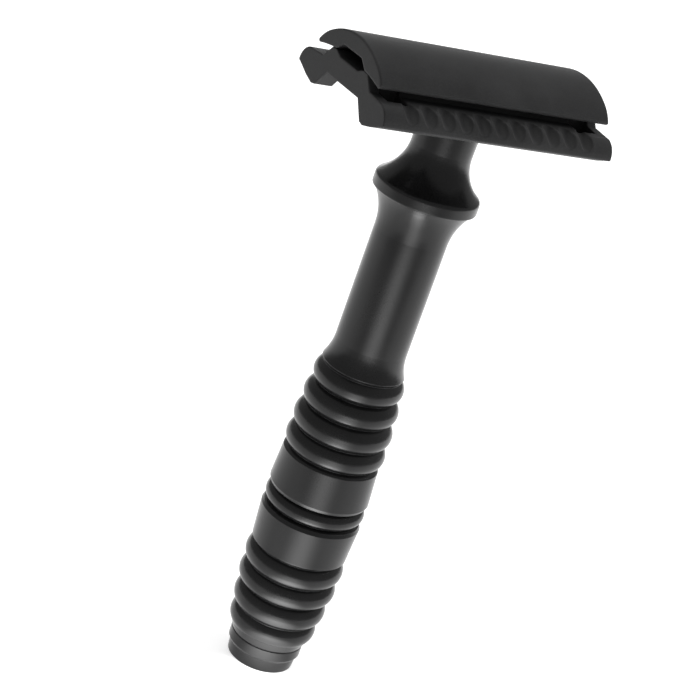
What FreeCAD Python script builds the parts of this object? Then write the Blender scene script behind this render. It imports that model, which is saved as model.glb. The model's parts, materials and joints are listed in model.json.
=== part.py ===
"""A matt black double-edge safety razor with a closed, scalloped guard and a ribbed handle.

The razor stands upright on its foot. The origin is the centre of the foot's flat end, +Z runs up
the handle, X runs along the head, and the two shaving edges face -Y and +Y. Lengths are in mm.
Every size is a cell of the sheet "Sizes"; a name that ends in _z is a height above the foot, one
that ends in _y is a distance from the head's middle plane, and one in _r is a radius.
"""

import FreeCAD, Part
import math
import os
import Sketcher

SIZES = {
    # cap: a crowned plate with thin drooping wings, hollow beneath its middle
    "cap_length": 42.0, "cap_crown_z": 106.4,
    "cap_shoulder_y": 6.75, "cap_shoulder_z": 104.66,
    "cap_brow_y": 8.2, "cap_brow_z": 103.68,
    "cap_tip_y": 9.3, "cap_tip_z": 102.45,
    "cap_edge_y": 9.26, "cap_edge_z": 102.05,
    "cap_lip_y": 8.95, "cap_lip_z": 101.8,
    "cap_wing_y": 6.5, "cap_wing_z": 102.36,
    "cap_land_y": 4.3, "cap_land_z": 102.68,
    "cap_hollow_y": 2.7, "cap_hollow_z": 103.9,
    "cap_edge_round": 0.25,
    # how far each cutting shape runs past what it cuts
    "overrun": 0.5,
    # threaded post and locating pins under the cap
    "post_r": 2.45, "post_top_z": 105.2, "post_end_z": 90.9, "post_tip": 0.6,
    "thread_pitch": 0.8, "thread_depth": 0.4, "thread_first_z": 91.9, "thread_turns": 9.0,
    "ring_overrun": 0.1, "ring_half_width": 0.36,
    "pin_r": 1.5, "pin_spacing": 26.0, "pin_top_z": 104.9, "pin_end_z": 99.4, "pin_tip": 0.4,
    # base plate: platform with two ridges, a gutter, and a rounded guard bar along each edge
    "plate_length": 41.8, "plate_underside_z": 98.65,
    "recess_y": 2.6, "recess_z": 101.9,
    "ridge_in_y": 4.0, "ridge_out_y": 5.25, "ridge_z": 102.52,
    "gutter_in_y": 7.1, "gutter_in_z": 100.5,
    "bar_top_y": 10.9, "bar_top_z": 100.25,
    "bar_brow_y": 12.3, "bar_brow_z": 99.32,
    "bar_out_y": 12.88, "bar_out_z": 97.85,
    "bar_corner_y": 12.8, "bar_corner_z": 97.52,
    "bar_base_y": 12.5, "bar_base_z": 97.42,
    "bar_low_y": 9.83, "bar_low_z": 96.3,
    "lip_low_y": 7.9, "lip_low_z": 95.75,
    "lip_in_y": 6.95, "lip_in_z": 95.95,
    "channel_y": 4.75,
    "post_hole_r": 2.53, "pin_hole_r": 1.56,
    "lip_gap_length": 35.6, "lip_gap_width": 18.6, "lip_gap_z": 97.6, "lip_gap_round": 1.2,
    "drain_first_x": 15.6, "drain_last_x": 19.2, "drain_in_y": 5.9, "drain_out_y": 9.5,
    "drain_z": 98.2,
    "scallop_r": 1.45, "scallop_pitch": 3.2, "scallop_count": 11.0, "scallop_depth": 0.85,
    "scallop_run": 7.0, "scallop_y": 11.2, "scallop_z": 100.15, "scallop_tilt": 28.0,
    # neck and collar, pressed into the top of the handle
    "neck_top_r": 4.95, "neck_chamfer": 0.6, "neck_waist_r": 4.84, "neck_waist_z": 91.4,
    "neck_hollow_r": 5.68, "neck_hollow_z": 88.0,
    "collar_top_r": 8.0, "collar_top_z": 85.39, "collar_brow_r": 8.26, "collar_brow_z": 85.09,
    "collar_r": 8.35, "collar_rim_z": 84.7, "collar_foot_z": 83.15, "collar_round": 0.3,
    # brass thread bush in the neck
    "bush_r": 3.4, "bush_bore_r": 2.53, "bush_top_z": 98.4, "bush_end_z": 90.2,
    # handle tube: plain shaft, then a barrel-shaped grip of beads and two smooth bands
    "bore_r": 3.9, "spigot_end_z": 73.0,
    "cove_r": 7.95, "cove_mid_r": 6.46, "cove_mid_z": 80.5,
    "shaft_r": 5.83, "shaft_top_z": 77.0, "shaft_end_z": 58.0,
    "flare_mid_r": 6.2, "flare_mid_z": 55.5, "flare_r": 6.72, "flare_z": 54.15,
    "groove_depth": 1.05,
    "bead_1_r": 7.37, "bead_1_z": 51.6, "bead_2_r": 7.77, "bead_2_z": 47.95,
    "bead_3_r": 8.1, "bead_3_z": 44.05, "bead_4_r": 8.18, "bead_4_z": 40.25,
    "bead_5_r": 8.22, "bead_5_z": 29.7, "bead_6_r": 8.17, "bead_6_z": 18.95,
    "bead_7_r": 8.06, "bead_7_z": 15.2, "bead_8_r": 7.66, "bead_8_z": 11.25,
    "bead_9_r": 7.17, "bead_9_z": 7.65,
    "grip_top_r": 6.42, "grip_top_z": 53.6, "groove_1_z": 50.05, "groove_2_z": 46.15, "groove_3_z": 42.1,
    "groove_4_z": 38.45, "groove_5_z": 31.1, "groove_6_z": 28.3, "groove_7_z": 20.75,
    "groove_8_z": 16.85, "groove_9_z": 13.0, "groove_10_z": 8.95, "grip_end_z": 4.36,
    "last_groove_r": 6.5, "grip_taper_r": 6.6, "grip_taper_z": 5.75, "grip_end_r": 5.98,
    "band_thin_r": 7.88, "band_thick_r": 8.25, "band_edge": 0.3,
    # ballast rod inside the handle and the stub foot that closes it
    "rod_top_z": 72.8, "rod_end_z": 10.0,
    "foot_r": 6.05, "foot_rim_z": 4.2, "foot_step_z": 2.65, "foot_small_r": 5.65, "foot_small_z": 2.1,
    "foot_base_r": 5.5, "foot_round": 0.35, "foot_spigot_z": 9.8,
}

# How far the middle of a quarter round lies in from its corner, for a radius of one.
CORNER_GAP = 1 - math.sqrt(0.5)

# Two lengths that differ by less than this are the same.
SAME = 1e-4


class Size:
    """A length: its value in mm, and the expression over the sheet's cells that gives it."""

    def __init__(self, value, text):
        self.value = value
        self.text = text

    def __add__(self, other):
        other = as_size(other)
        return Size(self.value + other.value, f"({self.text} + {other.text})")

    def __sub__(self, other):
        other = as_size(other)
        return Size(self.value - other.value, f"({self.text} - {other.text})")

    def __mul__(self, factor):
        return Size(self.value * factor, f"({self.text} * {factor})")

    def __neg__(self):
        return self * -1


def as_size(number):
    return number if isinstance(number, Size) else Size(number, f"{number} mm")


def cell(alias):
    return Size(SIZES[alias], f"Sizes.{alias} * 1 mm")


ZERO = Size(0.0, "0 mm")


def fill_sheet(doc):
    sheet = doc.addObject("Spreadsheet::Sheet", "Sizes")
    for row, (alias, value) in enumerate(SIZES.items(), start=1):
        sheet.set(f"A{row}", alias)
        sheet.set(f"B{row}", str(value))
        sheet.setAlias(f"B{row}", alias)
    doc.recompute()
    return sheet


def bind(obj, **sizes):
    """Ties properties of an object to the sheet."""
    for name, size in sizes.items():
        obj.setExpression(name, size.text)


# --- sketches -----------------------------------------------------------------------------------

def origin_feature(body, role):
    return next(item for item in body.Origin.OriginFeatures if item.Role == role)


def new_sketch(body, name, plane, height=None):
    """An empty sketch on one of the body's own origin planes, raised to a height if one is given."""
    sketch = body.newObject("Sketcher::SketchObject", name)
    sketch.AttachmentSupport = [(origin_feature(body, plane), "")]
    sketch.MapMode = "FlatFace"
    if height is not None:
        sketch.setExpression("AttachmentOffset.Base.z", height.text)
    return sketch


def pin_point(sketch, geometry, end, across, along, label):
    """Fixes one point of a sketch by its two distances from the sketch's origin."""
    for kind, size in (("DistanceX", across), ("DistanceY", along)):
        index = sketch.addConstraint(
            Sketcher.Constraint(kind, -1, 1, geometry, end, size.value))
        name = f"{label}_{kind[-1]}"
        sketch.renameConstraint(index, name)
        sketch.setExpression(f"Constraints.{name}", size.text)


def draw_outline(sketch, points):
    """Draws a closed outline. Each point is (across, along), and a third item gives the point that
    an arc to the next corner passes through; without one the side is straight."""
    vectors = [FreeCAD.Vector(p[0].value, p[1].value, 0) for p in points]
    ends = []
    for i, point in enumerate(points):
        start, finish = vectors[i], vectors[(i + 1) % len(points)]
        if len(point) == 2:
            sketch.addGeometry(Part.LineSegment(start, finish), False)
            ends.append((1, 2))
            continue
        middle = FreeCAD.Vector(point[2][0].value, point[2][1].value, 0)
        sketch.addGeometry(Part.Arc(start, middle, finish), False)
        anticlockwise = (middle - start).cross(finish - middle).z > 0
        ends.append((1, 2) if anticlockwise else (2, 1))
    for i in range(len(points)):
        following = (i + 1) % len(points)
        sketch.addConstraint(Sketcher.Constraint(
            "Coincident", i, ends[i][1], following, ends[following][0]))
        pin_point(sketch, i, ends[i][0], points[i][0], points[i][1], f"corner{i}")
    for i, point in enumerate(points):
        if len(point) == 3:
            middle = FreeCAD.Vector(point[2][0].value, point[2][1].value, 0)
            marker = sketch.addGeometry(Part.Point(middle), True)
            pin_point(sketch, marker, 1, point[2][0], point[2][1], f"through{i}")
            sketch.addConstraint(Sketcher.Constraint("PointOnObject", marker, 1, i))


def draw_circle(sketch, across, along, radius, label):
    centre = FreeCAD.Vector(across.value, along.value, 0)
    circle = sketch.addGeometry(
        Part.Circle(centre, FreeCAD.Vector(0, 0, 1), radius.value), False)
    index = sketch.addConstraint(Sketcher.Constraint("Radius", circle, radius.value))
    sketch.renameConstraint(index, f"{label}_radius")
    sketch.setExpression(f"Constraints.{label}_radius", radius.text)
    pin_point(sketch, circle, 3, across, along, label)


def mirrored(half):
    """Completes a right-hand half outline, listed from its top on the middle plane to its bottom,
    with its own mirror image. Sides keep their arcs."""
    left = []
    for i in range(len(half) - 1, -1, -1):
        across, along = half[i][0], half[i][1]
        arrives_by = half[i - 1] if i > 0 else None
        corner = (-across, along)
        if arrives_by is not None and len(arrives_by) == 3:
            corner += ((-arrives_by[2][0], arrives_by[2][1]),)
        left.append(corner)
    return half + left


# --- features -----------------------------------------------------------------------------------

def new_body(doc, label):
    body = doc.addObject("PartDesign::Body", label)
    body.Label = label
    return body


def pad_both_ways(body, sketch, length):
    pad = body.newObject("PartDesign::Pad", sketch.Name + "_pad")
    pad.Profile = sketch
    pad.SideType = "Symmetric"
    bind(pad, Length=length)
    return pad


def cut_down(body, sketch, depth):
    """Cuts a sketch's shape away below the sketch's plane."""
    pocket = body.newObject("PartDesign::Pocket", sketch.Name + "_cut")
    pocket.Profile = sketch
    bind(pocket, Length=depth)
    return pocket


def cut_up(body, sketch, depth):
    pocket = cut_down(body, sketch, depth)
    pocket.Reversed = True
    return pocket


def turn_outline(doc, label, points):
    """A turned piece: a half section in the XZ plane, revolved about the handle's axis."""
    body = new_body(doc, label)
    sketch = new_sketch(body, label + "_section", "XZ_Plane")
    draw_outline(sketch, points)
    revolution = body.newObject("PartDesign::Revolution", label + "_turned")
    revolution.Profile = sketch
    revolution.ReferenceAxis = (sketch, ["V_Axis"])
    return body


def round_end_edges(body, label, reach, radius):
    """Rounds the edges where the cap's crown meets its two flat ends."""
    body.Document.recompute()
    tip = body.Tip
    # the arcs under the wings are centred lower than this
    lowest_centre = cell("cap_crown_z").value - 2 * cell("cap_tip_y").value
    names = []
    for number, edge in enumerate(tip.Shape.Edges, start=1):
        at_end = all(abs(abs(v.X) - reach.value) < SAME for v in edge.Vertexes)
        is_arc = edge.Curve.TypeId == "Part::GeomCircle"
        if at_end and is_arc and edge.Curve.Center.z > lowest_centre:
            names.append(f"Edge{number}")
    fillet = body.newObject("PartDesign::Fillet", label)
    fillet.Base = (tip, names)
    bind(fillet, Radius=radius)
    return fillet


# --- head ---------------------------------------------------------------------------------------

def make_cap(doc):
    """Crowned cap with a hollow underside and blind holes for its post and pins."""
    body = new_body(doc, "cap")
    sketch = new_sketch(body, "cap_section", "YZ_Plane")
    right = [
        (cell("cap_shoulder_y"), cell("cap_shoulder_z"), (cell("cap_brow_y"), cell("cap_brow_z"))),
        (cell("cap_tip_y"), cell("cap_tip_z")),
        (cell("cap_edge_y"), cell("cap_edge_z")),
        (cell("cap_lip_y"), cell("cap_lip_z"), (cell("cap_wing_y"), cell("cap_wing_z"))),
        (cell("cap_land_y"), cell("cap_land_z")),
        (cell("cap_hollow_y"), cell("cap_hollow_z")),
    ]
    outline = mirrored(right)
    last = outline[-1]
    outline[-1] = (last[0], last[1], (ZERO, cell("cap_crown_z")))
    draw_outline(sketch, outline)
    pad_both_ways(body, sketch, cell("cap_length"))

    mouth = cell("cap_hollow_z") - cell("overrun")
    holes = new_sketch(body, "cap_holes", "XY_Plane", mouth)
    draw_circle(holes, ZERO, ZERO, cell("post_r"), "post")
    cut_up(body, holes, cell("post_top_z") - mouth)
    pins = new_sketch(body, "cap_pin_holes", "XY_Plane", mouth)
    draw_circle(pins, cell("pin_spacing") * 0.5, ZERO, cell("pin_r"), "right")
    draw_circle(pins, cell("pin_spacing") * -0.5, ZERO, cell("pin_r"), "left")
    cut_up(body, pins, cell("pin_top_z") - mouth)
    return body


def make_cap_post(doc):
    """Post that the handle screws onto, with its thread drawn as a row of V rings."""
    tip = cell("post_tip")
    end = cell("post_end_z")
    radius = cell("post_r")
    body = turn_outline(doc, "cap_post", [
        (ZERO, cell("post_top_z")),
        (radius, cell("post_top_z")),
        (radius, end + tip),
        (radius - tip, end),
        (ZERO, end),
    ])
    pitch = cell("thread_pitch")
    first = cell("thread_first_z")
    ring = new_sketch(body, "cap_post_ring", "XZ_Plane")
    draw_outline(ring, [
        (radius + cell("ring_overrun"), first + cell("ring_half_width")),
        (radius - cell("thread_depth"), first),
        (radius + cell("ring_overrun"), first - cell("ring_half_width")),
    ])
    groove = body.newObject("PartDesign::Groove", "cap_post_ring_cut")
    groove.Profile = ring
    groove.ReferenceAxis = (ring, ["V_Axis"])
    rings = body.newObject("PartDesign::LinearPattern", "cap_post_thread")
    rings.Originals = [groove]
    rings.Direction = (origin_feature(body, "Z_Axis"), [""])
    rings.Occurrences = int(SIZES["thread_turns"])
    bind(rings, Length=pitch * (SIZES["thread_turns"] - 1))
    body.Tip = rings
    return body


def make_locating_pins(doc):
    """The two pins that hold a blade square, each with a chamfered end."""
    pins = []
    for side, offset in (("left", cell("pin_spacing") * -0.5), ("right", cell("pin_spacing") * 0.5)):
        shank = doc.addObject("Part::Cylinder", f"{side}_pin_shank")
        bind(shank, Radius=cell("pin_r"),
             Height=cell("pin_top_z") - cell("pin_end_z") - cell("pin_tip"))
        shank.setExpression("Placement.Base.x", offset.text)
        shank.setExpression("Placement.Base.z", (cell("pin_end_z") + cell("pin_tip")).text)
        point = doc.addObject("Part::Cone", f"{side}_pin_point")
        bind(point, Radius1=cell("pin_r") - cell("pin_tip"), Radius2=cell("pin_r"),
             Height=cell("pin_tip"))
        point.setExpression("Placement.Base.x", offset.text)
        point.setExpression("Placement.Base.z", cell("pin_end_z").text)
        pin = doc.addObject("Part::Fuse", f"{side}_pin")
        pin.Base = shank
        pin.Tool = point
        pins.append(pin)
    both = doc.addObject("Part::Compound", "locating_pins")
    both.Label = "locating_pins"
    both.Links = pins
    return both


def base_plate_half():
    return [
        (cell("recess_y"), cell("recess_z")),
        (cell("ridge_in_y"), cell("ridge_z")),
        (cell("ridge_out_y"), cell("ridge_z")),
        (cell("gutter_in_y"), cell("gutter_in_z")),
        (cell("bar_top_y"), cell("bar_top_z"), (cell("bar_brow_y"), cell("bar_brow_z"))),
        (cell("bar_out_y"), cell("bar_out_z"), (cell("bar_corner_y"), cell("bar_corner_z"))),
        (cell("bar_base_y"), cell("bar_base_z")),
        (cell("bar_low_y"), cell("bar_low_z")),
        (cell("lip_low_y"), cell("lip_low_z")),
        (cell("lip_in_y"), cell("lip_in_z")),
        (cell("channel_y"), cell("plate_underside_z")),
    ]


def cut_plate_holes(body):
    """Clearance holes for the cap's post and pins, right through the plate."""
    top = cell("recess_z") + cell("overrun")
    sketch = new_sketch(body, "plate_holes", "XY_Plane", top)
    draw_circle(sketch, ZERO, ZERO, cell("post_hole_r"), "post")
    draw_circle(sketch, cell("pin_spacing") * 0.5, ZERO, cell("pin_hole_r"), "right")
    draw_circle(sketch, cell("pin_spacing") * -0.5, ZERO, cell("pin_hole_r"), "left")
    cut_down(body, sketch, top - cell("plate_underside_z") + cell("overrun"))


def rounded_rectangle(half_length, half_width, radius):
    """Corners of a rectangle about the origin whose corners are arcs."""
    bulge = radius * CORNER_GAP
    x_flat, y_flat = half_length - radius, half_width - radius
    x_arc, y_arc = half_length - bulge, half_width - bulge
    return [
        (-x_flat, -half_width), (x_flat, -half_width, (x_arc, -y_arc)),
        (half_length, -y_flat), (half_length, y_flat, (x_arc, y_arc)),
        (x_flat, half_width), (-x_flat, half_width, (-x_arc, y_arc)),
        (-half_length, y_flat), (-half_length, -y_flat, (-x_arc, -y_arc)),
    ]


def cut_lip_gap(body):
    """Cuts the lower lips away along the middle, which leaves a tab at each end of each bar."""
    sketch = new_sketch(body, "lip_gap", "XY_Plane", cell("lip_gap_z"))
    draw_outline(sketch, rounded_rectangle(
        cell("lip_gap_length") * 0.5, cell("lip_gap_width") * 0.5, cell("lip_gap_round")))
    cut_down(body, sketch, cell("lip_gap_z") - cell("lip_low_z") + cell("overrun"))


def cut_drains(body):
    """Four deep pockets in the gutters, one beside each end of the platform."""
    top = cell("ridge_z") + cell("overrun")
    for name, x_side, y_side in (("a", 1, 1), ("b", -1, 1), ("c", -1, -1), ("d", 1, -1)):
        sketch = new_sketch(body, f"drain_{name}", "XY_Plane", top)
        near, far = cell("drain_first_x") * x_side, cell("drain_last_x") * x_side
        inner, outer = cell("drain_in_y") * y_side, cell("drain_out_y") * y_side
        draw_outline(sketch, [(near, inner), (far, inner), (far, outer), (near, outer)])
        cut_down(body, sketch, top - cell("drain_z"))


def cut_scallops(body):
    """Round scallops that run from the gutter down over the brow of both guard bars."""
    tilt = math.radians(SIZES["scallop_tilt"])
    out_y, out_z = math.sin(tilt), math.cos(tilt)
    lift = cell("scallop_r") - cell("scallop_depth")
    half_run = cell("scallop_run") * 0.5
    scallop = body.newObject("PartDesign::SubtractiveCylinder", "scallop")
    bind(scallop, Radius=cell("scallop_r"), Height=cell("scallop_run"))
    scallop.AttachmentSupport = [(origin_feature(body, "XY_Plane"), "")]
    scallop.MapMode = "FlatFace"
    scallop.AttachmentOffset = FreeCAD.Placement(
        FreeCAD.Vector(0, 0, 0), FreeCAD.Rotation(FreeCAD.Vector(1, 0, 0), -90 - SIZES["scallop_tilt"]))
    first_x = cell("scallop_pitch") * (-(SIZES["scallop_count"] - 1) / 2)
    axis_y = cell("scallop_y") + lift * out_y - half_run * out_z
    axis_z = cell("scallop_z") + lift * out_z + half_run * out_y
    scallop.setExpression("AttachmentOffset.Base.x", first_x.text)
    scallop.setExpression("AttachmentOffset.Base.y", axis_y.text)
    scallop.setExpression("AttachmentOffset.Base.z", axis_z.text)
    both = body.newObject("PartDesign::MultiTransform", "scallops")
    both.Originals = [scallop]
    row = body.newObject("PartDesign::LinearPattern", "scallop_row")
    row.Direction = (origin_feature(body, "X_Axis"), [""])
    row.Occurrences = int(SIZES["scallop_count"])
    bind(row, Length=cell("scallop_pitch") * (SIZES["scallop_count"] - 1))
    mirror = body.newObject("PartDesign::Mirrored", "scallop_mirror")
    mirror.MirrorPlane = (origin_feature(body, "XZ_Plane"), [""])
    both.Transformations = [row, mirror]
    body.Tip = both


def make_base_plate(doc):
    body = new_body(doc, "base_plate")
    sketch = new_sketch(body, "plate_section", "YZ_Plane")
    draw_outline(sketch, mirrored(base_plate_half()))
    pad_both_ways(body, sketch, cell("plate_length"))
    cut_plate_holes(body)
    cut_lip_gap(body)
    cut_drains(body)
    cut_scallops(body)
    return body


# --- handle -------------------------------------------------------------------------------------

def make_neck_collar(doc):
    """Waisted neck that flares into the collar, with a spigot that is pressed into the handle."""
    top = cell("plate_underside_z")
    foot = cell("collar_foot_z")
    chamfer = cell("neck_chamfer")
    edge = cell("collar_round")
    return turn_outline(doc, "neck_collar", [
        (cell("bush_r"), top),
        (cell("neck_top_r") - chamfer, top),
        (cell("neck_top_r"), top - chamfer),
        (cell("neck_waist_r"), cell("neck_waist_z"), (cell("neck_hollow_r"), cell("neck_hollow_z"))),
        (cell("collar_top_r"), cell("collar_top_z"), (cell("collar_brow_r"), cell("collar_brow_z"))),
        (cell("collar_r"), cell("collar_rim_z")),
        (cell("collar_r"), foot + edge, (cell("collar_r") - edge * CORNER_GAP, foot + edge * CORNER_GAP)),
        (cell("collar_r") - edge, foot),
        (cell("bore_r"), foot),
        (cell("bore_r"), cell("spigot_end_z")),
        (ZERO, cell("spigot_end_z")),
        (ZERO, cell("bush_end_z")),
        (cell("bush_r"), cell("bush_end_z")),
    ])


def make_thread_bush(doc):
    """Brass bush in the neck; its thread is a plain bore."""
    height = cell("bush_top_z") - cell("bush_end_z")
    outer = doc.addObject("Part::Cylinder", "bush_outside")
    bind(outer, Radius=cell("bush_r"), Height=height)
    outer.setExpression("Placement.Base.z", cell("bush_end_z").text)
    inner = doc.addObject("Part::Cylinder", "bush_bore")
    bind(inner, Radius=cell("bush_bore_r"), Height=height + cell("overrun") * 2)
    inner.setExpression("Placement.Base.z", (cell("bush_end_z") - cell("overrun")).text)
    bush = doc.addObject("Part::Cut", "thread_bush")
    bush.Label = "thread_bush"
    bush.Base = outer
    bush.Tool = inner
    return bush


def bead(number, start_r, start_z):
    """The corner where a bead begins, with the crest that its arc passes over."""
    return (start_r, start_z, (cell(f"bead_{number}_r"), cell(f"bead_{number}_z")))


def groove_r(alias):
    return cell(alias) - cell("groove_depth")


def grip_outline():
    """The grip from its top to its lower end: beads, band, bead, band, beads."""
    edge = cell("band_edge")
    thin, thick = cell("band_thin_r"), cell("band_thick_r")
    floor_4, floor_5 = groove_r("bead_4_r"), groove_r("band_thick_r")
    floor_7 = groove_r("bead_6_r")
    return [
        (cell("flare_r"), cell("flare_z")),
        bead(1, cell("grip_top_r"), cell("grip_top_z")),
        bead(2, groove_r("bead_1_r"), cell("groove_1_z")),
        bead(3, groove_r("bead_2_r"), cell("groove_2_z")),
        bead(4, groove_r("bead_3_r"), cell("groove_3_z")),
        (floor_4, cell("groove_4_z")),
        (thin - edge, cell("groove_4_z") - edge),
        (thin, cell("groove_4_z") - edge * 2),
        (thick, cell("groove_5_z") + edge * 3),
        (thick - edge, cell("groove_5_z") + edge),
        bead(5, floor_5, cell("groove_5_z")),
        (floor_5, cell("groove_6_z")),
        (thick - edge, cell("groove_6_z") - edge),
        (thick, cell("groove_6_z") - edge * 3),
        (thin, cell("groove_7_z") + edge * 2),
        (thin - edge, cell("groove_7_z") + edge),
        bead(6, floor_7, cell("groove_7_z")),
        bead(7, groove_r("bead_7_r"), cell("groove_8_z")),
        bead(8, groove_r("bead_8_r"), cell("groove_9_z")),
        bead(9, cell("last_groove_r"), cell("groove_10_z")),
        (cell("grip_taper_r"), cell("grip_taper_z")),
        (cell("grip_end_r"), cell("grip_end_z")),
    ]


def make_handle_tube(doc):
    """The long turned tube: cove under the collar, plain shaft, flare and grip, bored through."""
    return turn_outline(doc, "handle_tube", [
        (cell("bore_r"), cell("collar_foot_z")),
        (cell("cove_r"), cell("collar_foot_z"), (cell("cove_mid_r"), cell("cove_mid_z"))),
        (cell("shaft_r"), cell("shaft_top_z")),
        (cell("shaft_r"), cell("shaft_end_z"), (cell("flare_mid_r"), cell("flare_mid_z"))),
    ] + grip_outline() + [
        (cell("bore_r"), cell("grip_end_z")),
    ])


def make_core_rod(doc):
    """Steel ballast rod that fills the handle's bore."""
    rod = doc.addObject("Part::Cylinder", "core_rod")
    rod.Label = "core_rod"
    bind(rod, Radius=cell("bore_r"), Height=cell("rod_top_z") - cell("rod_end_z"))
    rod.setExpression("Placement.Base.z", cell("rod_end_z").text)
    return rod


def make_foot_plug(doc):
    """Stepped stub foot, pressed into the lower end of the handle."""
    edge = cell("foot_round")
    base = cell("foot_base_r")
    return turn_outline(doc, "foot_plug", [
        (ZERO, cell("foot_spigot_z")),
        (cell("bore_r"), cell("foot_spigot_z")),
        (cell("bore_r"), cell("grip_end_z")),
        (cell("grip_end_r"), cell("grip_end_z")),
        (cell("foot_r"), cell("foot_rim_z")),
        (cell("foot_r"), cell("foot_step_z")),
        (cell("foot_small_r"), cell("foot_small_z")),
        (base, edge, (base - edge * CORNER_GAP, edge * CORNER_GAP)),
        (base - edge, ZERO),
        (ZERO, ZERO),
    ])


# --- the whole razor ----------------------------------------------------------------------------

def check(doc, subparts):
    for obj in doc.Objects:
        failed = {"Invalid", "Error"} & set(obj.State)
        if failed:
            raise RuntimeError(f"{obj.Name} is {failed}")
    for subpart in subparts:
        shape = subpart.Shape
        if shape.isNull() or not shape.isValid() or not shape.Solids:
            raise RuntimeError(f"{subpart.Label} has no valid solid")


def main():
    doc = FreeCAD.newDocument("safety_razor")
    fill_sheet(doc)
    subparts = [make(doc) for make in (
        make_cap, make_cap_post, make_locating_pins, make_base_plate, make_neck_collar,
        make_thread_bush, make_handle_tube, make_core_rod, make_foot_plug)]
    doc.recompute()
    round_end_edges(subparts[0], "cap_end_rounds", cell("cap_length") * 0.5, cell("cap_edge_round"))
    doc.recompute()
    check(doc, subparts)
    os.makedirs("parts", exist_ok=True)
    for subpart in subparts:
        subpart.Shape.exportStep(f"parts/{subpart.Label}.step")
        print(f"{subpart.Label}: {subpart.Shape.Volume:.1f} mm3")


main()
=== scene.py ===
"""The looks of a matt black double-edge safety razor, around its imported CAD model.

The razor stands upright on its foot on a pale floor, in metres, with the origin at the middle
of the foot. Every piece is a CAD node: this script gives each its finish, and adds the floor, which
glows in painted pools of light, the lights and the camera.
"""

import json
import math

import bpy
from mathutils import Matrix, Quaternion, Vector

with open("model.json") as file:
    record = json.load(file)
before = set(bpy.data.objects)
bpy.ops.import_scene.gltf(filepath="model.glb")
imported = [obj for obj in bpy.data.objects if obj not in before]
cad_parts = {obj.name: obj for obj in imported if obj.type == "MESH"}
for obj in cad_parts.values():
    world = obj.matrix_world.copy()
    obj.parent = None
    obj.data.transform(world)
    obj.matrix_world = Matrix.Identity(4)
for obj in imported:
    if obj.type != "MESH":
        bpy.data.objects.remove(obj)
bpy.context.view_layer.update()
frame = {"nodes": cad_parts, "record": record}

MM = 0.001
WHITE = (1.0, 1.0, 1.0, 1.0)

# Camera: the way the razor is looked at, in degrees, and the point that it looks at.
VIEW_AZIMUTH = 36.91      # from +Y towards +X
VIEW_DROP = 20.93         # below level
VIEW_ROLL = 19.64
VIEW_DISTANCE = 354.5 * MM
VIEW_TARGET = Vector((-2.24, 1.69, 55.83)) * MM
LENS = 117.12             # in mm, as is the sensor
SENSOR = 36.0
NEAREST_SEEN = 10 * MM

# Light. The floor glows like a light table: evenly behind the razor, and in a row of soft patches in
# front of it, from which the black handle takes its highlights.
ROOM_GLOW = 0.32
FLOOR_GLOW = 0.60
GLOW_SPAN = (-140 * MM, -80 * MM)   # along the line of sight from the foot: where it starts, is full
PATCH_AZIMUTH = -29                 # from -Y towards +X
PATCHES = (                         # distance from the foot, radius and strength
    (19 * MM, 18 * MM, 7.5),
    (45 * MM, 33 * MM, 3.4),
    (85 * MM, 45 * MM, 1.9),
    (140 * MM, 90 * MM, 2.15),
    (220 * MM, 140 * MM, 2.4),
)
FLOOR_REACH = 4.0
LAMP_DISTANCE = 1.0

# Noise: cells per metre, and the part of its 0..1 range that is stretched over a whole effect.
GRAIN_SCALE = 5200
CLOUD_SCALE = 120
CHIP_SCALE = 420
RING_SCALE = 9000
LATHE_SCALE = 7000
STAIN_SCALE = 260
CHIP_SPAN = (0.40, 0.66)
TONE_SPAN = (0.36, 0.64)
ROUGH_SPAN = (0.35, 0.65)
STAIN_SPAN = (0.40, 0.65)

# Relief of the surfaces.
GRAIN_HEIGHT = 0.012 * MM
RING_HEIGHT = 0.004 * MM
LATHE_HEIGHT = 0.006 * MM

# Wear on the edges of the coating: its width, the agreement between the rounded and the true surface
# direction that counts as flat and as fully worn, and how much smoother it makes the coating.
WEAR_WIDTH = 0.22 * MM
WEAR_SPAN = (0.995, 0.90)
WEAR_POLISH = 0.07

# Share of the fine grain in the coating's mottle; the soft blotches have the rest.
GRAIN_SHARE = 0.45

# Places of the colour sockets in a mix node, whose names are shared with its other sockets.
MIX_FIRST, MIX_SECOND, MIX_RESULT = 6, 7, 2


# --- node trees ---------------------------------------------------------------------------------

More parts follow.
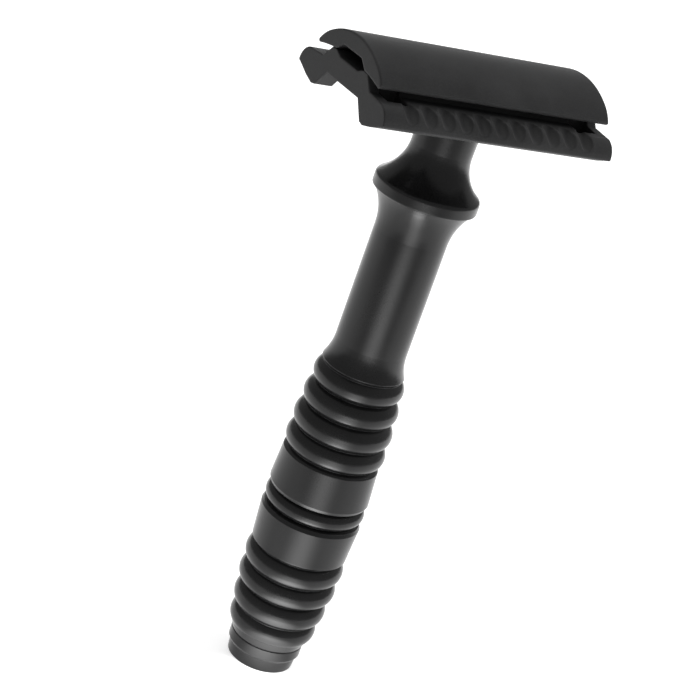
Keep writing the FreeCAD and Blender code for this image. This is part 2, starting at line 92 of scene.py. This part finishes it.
class Tree:
    """Adds shader nodes to one material and joins them up."""

    def __init__(self, name):
        self.material = bpy.data.materials.new(name)
        self.material.use_nodes = True
        self.nodes = self.material.node_tree.nodes
        self.links = self.material.node_tree.links
        self.nodes.clear()
        self.shader = self.add("ShaderNodeBsdfPrincipled")
        output = self.add("ShaderNodeOutputMaterial")
        self.links.new(self.shader.outputs["BSDF"], output.inputs["Surface"])
        self.place = self.add("ShaderNodeTexCoord").outputs["Object"]

    def add(self, kind, **settings):
        node = self.nodes.new(kind)
        for name, value in settings.items():
            setattr(node, name, value)
        return node

    def give(self, socket, value):
        """Joins an input to another node's output, or sets it to a fixed value."""
        if isinstance(value, bpy.types.NodeSocket):
            self.links.new(value, socket)
        else:
            socket.default_value = value

    def feed(self, node, **inputs):
        """Gives a node its inputs by name; an underscore in a name stands for a space."""
        for name, value in inputs.items():
            self.give(node.inputs[name.replace("_", " ")], value)
        return node

    def noise(self, scale, detail=2.0, roughness=0.5, where=None):
        node = self.add("ShaderNodeTexNoise")
        self.feed(node, Vector=where or self.place, Scale=scale, Detail=detail,
                  Roughness=roughness)
        return node.outputs["Fac"]

    def maths(self, kind, *values):
        node = self.add("ShaderNodeMath", operation=kind)
        for socket, value in zip(node.inputs, values):
            self.give(socket, value)
        return node.outputs[0]

    def measure(self, kind, first, second):
        """One number from two vectors: their DOT_PRODUCT or their DISTANCE."""
        node = self.add("ShaderNodeVectorMath", operation=kind)
        self.give(node.inputs[0], first)
        self.give(node.inputs[1], second)
        return node.outputs["Value"]

    def spread(self, value, span, over=(0.0, 1.0), shape="LINEAR"):
        """Maps a span of a value over another span, and holds it there beyond the ends."""
        node = self.add("ShaderNodeMapRange", interpolation_type=shape)
        self.feed(node, Value=value, From_Min=span[0], From_Max=span[1],
                  To_Min=over[0], To_Max=over[1])
        return node.outputs["Result"]

    def blend(self, share, first, second):
        """Mixes two colours, each a socket or (red, green, blue)."""
        node = self.add("ShaderNodeMix", data_type="RGBA")
        self.give(node.inputs["Factor"], share)
        for place, colour in ((MIX_FIRST, first), (MIX_SECOND, second)):
            if isinstance(colour, tuple):
                colour = (*colour, 1.0)
            self.give(node.inputs[place], colour)
        return node.outputs[MIX_RESULT]

    def rounded(self, radius):
        """The surface's direction, as if its edges were rounded to a radius."""
        bevel = self.feed(self.add("ShaderNodeBevel", samples=8), Radius=radius)
        return bevel.outputs["Normal"]

    def worn_edges(self):
        """0 on the flats, up to 1 on the edges."""
        true_direction = self.add("ShaderNodeNewGeometry").outputs["Normal"]
        agreement = self.measure("DOT_PRODUCT", self.rounded(WEAR_WIDTH), true_direction)
        return self.spread(agreement, WEAR_SPAN)

    def around(self):
        """A coordinate that is the same all round the handle's axis: (radius, 0, height)."""
        apart = self.add("ShaderNodeSeparateXYZ")
        self.give(apart.inputs[0], self.place)
        x, y, z = apart.outputs
        squares = self.maths("ADD", self.maths("MULTIPLY", x, x), self.maths("MULTIPLY", y, y))
        joined = self.add("ShaderNodeCombineXYZ")
        self.feed(joined, X=self.maths("SQRT", squares), Z=z)
        return joined.outputs[0]

    def bump(self, height, distance, over=None):
        """Relief on the surface, or on top of another relief."""
        node = self.feed(self.add("ShaderNodeBump"), Height=height, Distance=distance, Strength=1.0)
        if over is not None:
            self.feed(node, Normal=over)
        return node.outputs["Normal"]


# --- finishes -----------------------------------------------------------------------------------

def black_coating(name, dark, light, rough, gloss, wear, soft_edge, turned):
    """Matt black coating: fine grain, soft blotches, worn edges that are lighter by a factor, and
    rings round the axis if the piece is turned."""
    tree = Tree(name)
    grain = tree.noise(GRAIN_SCALE, detail=3.0, roughness=0.6)
    cloud = tree.noise(CLOUD_SCALE, detail=4.0, roughness=0.55)
    mottle = tree.maths("ADD", tree.maths("MULTIPLY", grain, GRAIN_SHARE),
                        tree.maths("MULTIPLY", cloud, 1 - GRAIN_SHARE))
    worn = tree.worn_edges()
    chips = tree.spread(tree.noise(CHIP_SCALE, detail=3.0), CHIP_SPAN)
    tone = tree.blend(tree.spread(mottle, TONE_SPAN), dark, light)
    edge_tone = tuple(channel * wear for channel in light)
    colour = tree.blend(tree.maths("MULTIPLY", worn, chips), tone, edge_tone)
    roughness = tree.maths("SUBTRACT", tree.spread(mottle, ROUGH_SPAN, over=rough),
                           tree.maths("MULTIPLY", worn, WEAR_POLISH))
    normal = tree.bump(grain, GRAIN_HEIGHT, over=tree.rounded(soft_edge))
    if turned:
        rings = tree.noise(RING_SCALE, detail=1.0, where=tree.around())
        normal = tree.bump(rings, RING_HEIGHT, over=normal)
    tree.feed(tree.shader, Base_Color=colour, Roughness=roughness, Normal=normal,
              Specular_IOR_Level=gloss)
    return tree.material


def turned_metal(name, dull, bright, rough):
    """Bare metal off the lathe, with fine rings round the axis and a few dull stains."""
    tree = Tree(name)
    rings = tree.noise(LATHE_SCALE, detail=2.0, where=tree.around())
    stain = tree.noise(STAIN_SCALE, detail=4.0, roughness=0.6)
    tree.feed(tree.shader,
              Base_Color=tree.blend(tree.spread(stain, STAIN_SPAN), bright, dull),
              Roughness=tree.spread(stain, ROUGH_SPAN, over=rough),
              Normal=tree.bump(rings, LATHE_HEIGHT),
              Metallic=1.0)
    return tree.material


def head_finish():
    return black_coating("black_head_coat", dark=(0.029, 0.029, 0.0295), light=(0.045, 0.045, 0.0455),
                         rough=(0.50, 0.62), gloss=0.15, wear=1.5, soft_edge=0.4 * MM, turned=False)


def handle_finish():
    return black_coating("black_handle_coat", dark=(0.006, 0.006, 0.0062), light=(0.011, 0.011, 0.0112),
                         rough=(0.17, 0.27), gloss=0.35, wear=6.0, soft_edge=0.18 * MM, turned=True)


def steel_finish():
    return turned_metal("turned_steel", dull=(0.46, 0.46, 0.47), bright=(0.62, 0.62, 0.63),
                        rough=(0.24, 0.38))


def brass_finish():
    return turned_metal("turned_brass", dull=(0.52, 0.37, 0.17), bright=(0.75, 0.57, 0.29),
                        rough=(0.26, 0.40))


def dress(finishes):
    """Gives every CAD node the finish of its material slot in the record."""
    for part in frame["record"]["subparts"]:
        node = frame["nodes"][part["node"]]
        for slot in node.material_slots:
            slot.material = finishes[part["material_slot"]]


# --- floor, lights and camera -------------------------------------------------------------------

def aim_from_front(azimuth):
    """Level direction away from the razor. Azimuth is from -Y towards +X, in degrees."""
    turn = math.radians(azimuth)
    return Vector((math.sin(turn), -math.cos(turn), 0.0))


def floor_glow(tree):
    """How strongly each place on the floor glows."""
    turn = math.radians(VIEW_AZIMUTH)
    along = tree.measure("DOT_PRODUCT", tree.place, (math.sin(turn), math.cos(turn), 0.0))
    glow = tree.spread(along, GLOW_SPAN, over=(0.0, FLOOR_GLOW), shape="SMOOTHSTEP")
    # Painted pools of light: soft glowing patches on the floor in front of the razor, which the shiny
    # handle mirrors as its highlights.
    for distance, radius, strength in PATCHES:
        away = tree.measure("DISTANCE", tree.place, aim_from_front(PATCH_AZIMUTH) * distance)
        patch = tree.spread(away, (0.0, radius), over=(strength, 0.0), shape="SMOOTHSTEP")
        glow = tree.maths("ADD", glow, patch)
    return glow


def make_floor():
    """A pale floor, large enough to fill every view, that glows: evenly behind the razor, and in
    painted pools of light in front of it, which the handle mirrors as its highlights.
    """
    near, far = -FLOOR_REACH, FLOOR_REACH
    mesh = bpy.data.meshes.new("floor")
    mesh.from_pydata([(near, near, 0), (far, near, 0), (far, far, 0), (near, far, 0)],
                     [], [(0, 1, 2, 3)])
    floor = bpy.data.objects.new("floor", mesh)
    bpy.context.scene.collection.objects.link(floor)
    tree = Tree("glowing_floor")
    tree.feed(tree.shader, Base_Color=(0.82, 0.82, 0.82, 1.0), Roughness=0.9,
              Specular_IOR_Level=0.2, Emission_Color=WHITE, Emission_Strength=floor_glow(tree))
    mesh.materials.append(tree.material)


def make_softbox(name, azimuth, elevation, size, power, mirrored=True):
    """A square lamp that faces the middle of the razor, and that shiny pieces mirror or not."""
    lamp = bpy.data.lights.new(name, "AREA")
    lamp.size = size
    lamp.energy = power
    lift = math.radians(elevation)
    away = aim_from_front(azimuth) * math.cos(lift) + Vector((0, 0, math.sin(lift)))
    holder = bpy.data.objects.new(name, lamp)
    holder.location = VIEW_TARGET + away * LAMP_DISTANCE
    holder.visible_glossy = mirrored
    holder.rotation_mode = "QUATERNION"
    holder.rotation_quaternion = (-away).to_track_quat("-Z", "Y")
    bpy.context.scene.collection.objects.link(holder)


def make_room():
    world = bpy.data.worlds.new("studio")
    world.use_nodes = True
    background = world.node_tree.nodes["Background"]
    background.inputs["Color"].default_value = WHITE
    background.inputs["Strength"].default_value = ROOM_GLOW
    bpy.context.scene.world = world


def make_camera():
    turn, drop = math.radians(VIEW_AZIMUTH), math.radians(VIEW_DROP)
    ahead = Vector((math.sin(turn) * math.cos(drop), math.cos(turn) * math.cos(drop),
                    -math.sin(drop)))
    lens = bpy.data.cameras.new("camera")
    lens.lens = LENS
    lens.sensor_width = SENSOR
    lens.clip_start = NEAREST_SEEN
    camera = bpy.data.objects.new("camera", lens)
    camera.location = VIEW_TARGET - ahead * VIEW_DISTANCE
    camera.rotation_mode = "QUATERNION"
    roll = Quaternion((0, 0, 1), math.radians(VIEW_ROLL))
    camera.rotation_quaternion = ahead.to_track_quat("-Z", "Y") @ roll
    bpy.context.scene.collection.objects.link(camera)
    bpy.context.scene.camera = camera


# --- the scene ----------------------------------------------------------------------------------

dress({
    "black_head": head_finish(),
    "black_handle": handle_finish(),
    "steel": steel_finish(),
    "brass": brass_finish(),
})
make_floor()
make_room()
make_softbox("back_light", azimuth=180, elevation=65, size=0.5, power=3.0)
make_softbox("low_light", azimuth=150, elevation=6, size=0.5, power=1.0)
make_softbox("side_light", azimuth=78, elevation=30, size=0.3, power=6.2, mirrored=False)
make_camera()
bpy.context.scene.view_settings.view_transform = "Standard"
